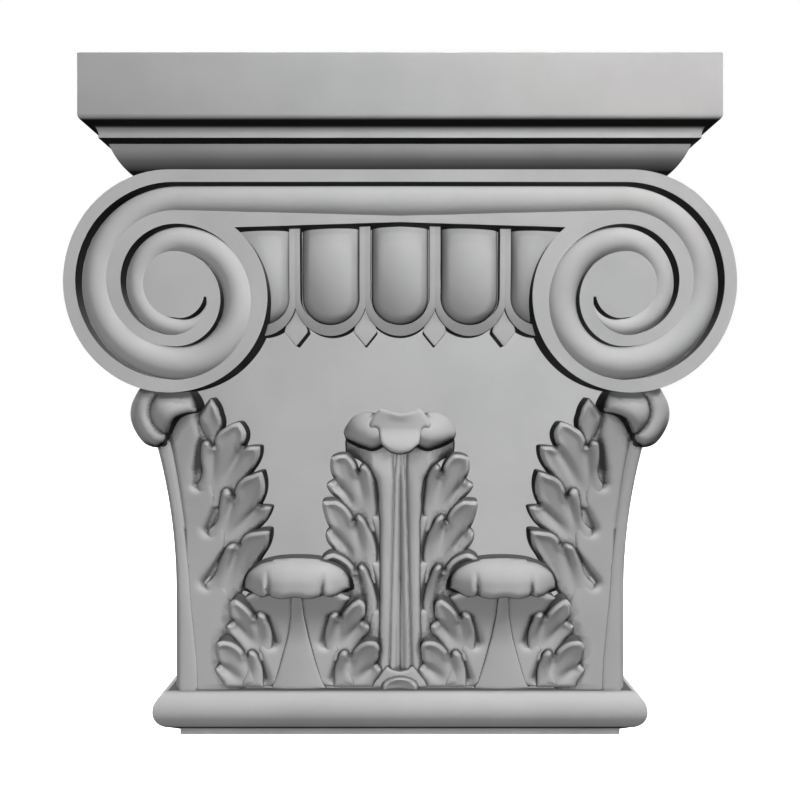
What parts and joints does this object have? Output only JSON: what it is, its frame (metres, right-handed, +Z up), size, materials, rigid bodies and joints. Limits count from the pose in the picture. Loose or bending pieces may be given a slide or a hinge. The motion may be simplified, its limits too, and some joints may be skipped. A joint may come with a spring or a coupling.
{
  "type": "pilaster capital",
  "caption": "Carved stone capital for a flat pilaster, with a moulded abacus, a scroll with volutes, an egg row and acanthus leaves round a bell.",
  "frame": {"origin": "centre of the overall width and depth, on the underside of the necking", "axes": "+Z up, the carved front faces -Y, the flat back faces +Y against the wall, +X to the right of a person looking at the front"},
  "size_m": [0.295, 0.1, 0.3055],
  "materials": {
    "carved_stone": "fine-rubbed matt grey stone"
  },
  "bodies": {
    "root": {"carved_capital": "carved_stone"}
  },
  "joints": []
}
